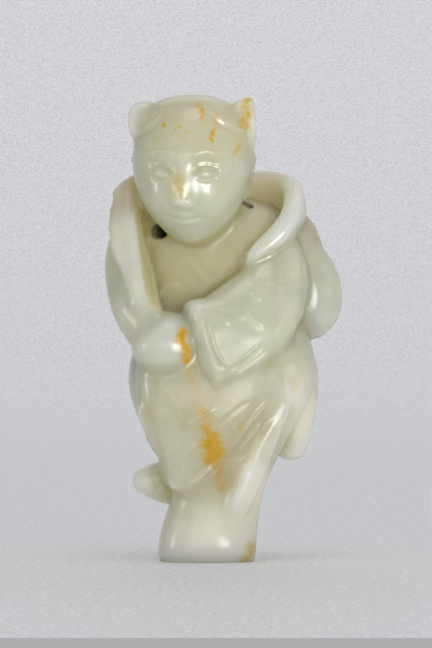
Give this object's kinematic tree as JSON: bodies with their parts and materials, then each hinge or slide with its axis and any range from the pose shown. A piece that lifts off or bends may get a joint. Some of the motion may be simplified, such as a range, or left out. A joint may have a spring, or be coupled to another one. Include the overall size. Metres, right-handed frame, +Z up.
{
  "type": "jade boy figurine",
  "caption": "Carved jade boy standing on one leg, hands joined on a strap that holds a bundle on the left shoulder, with a flat sole.",
  "frame": {"origin": "middle of the flat sole under the standing foot", "axes": "+Z up through the crown of the head, -Y out of the figure's front, +X towards the figure's left hand"},
  "size_m": [0.0309, 0.0196, 0.06],
  "materials": {
    "jade": "polished, waxy, translucent"
  },
  "bodies": {
    "root": {"jade_boy": "jade"}
  },
  "joints": []
}
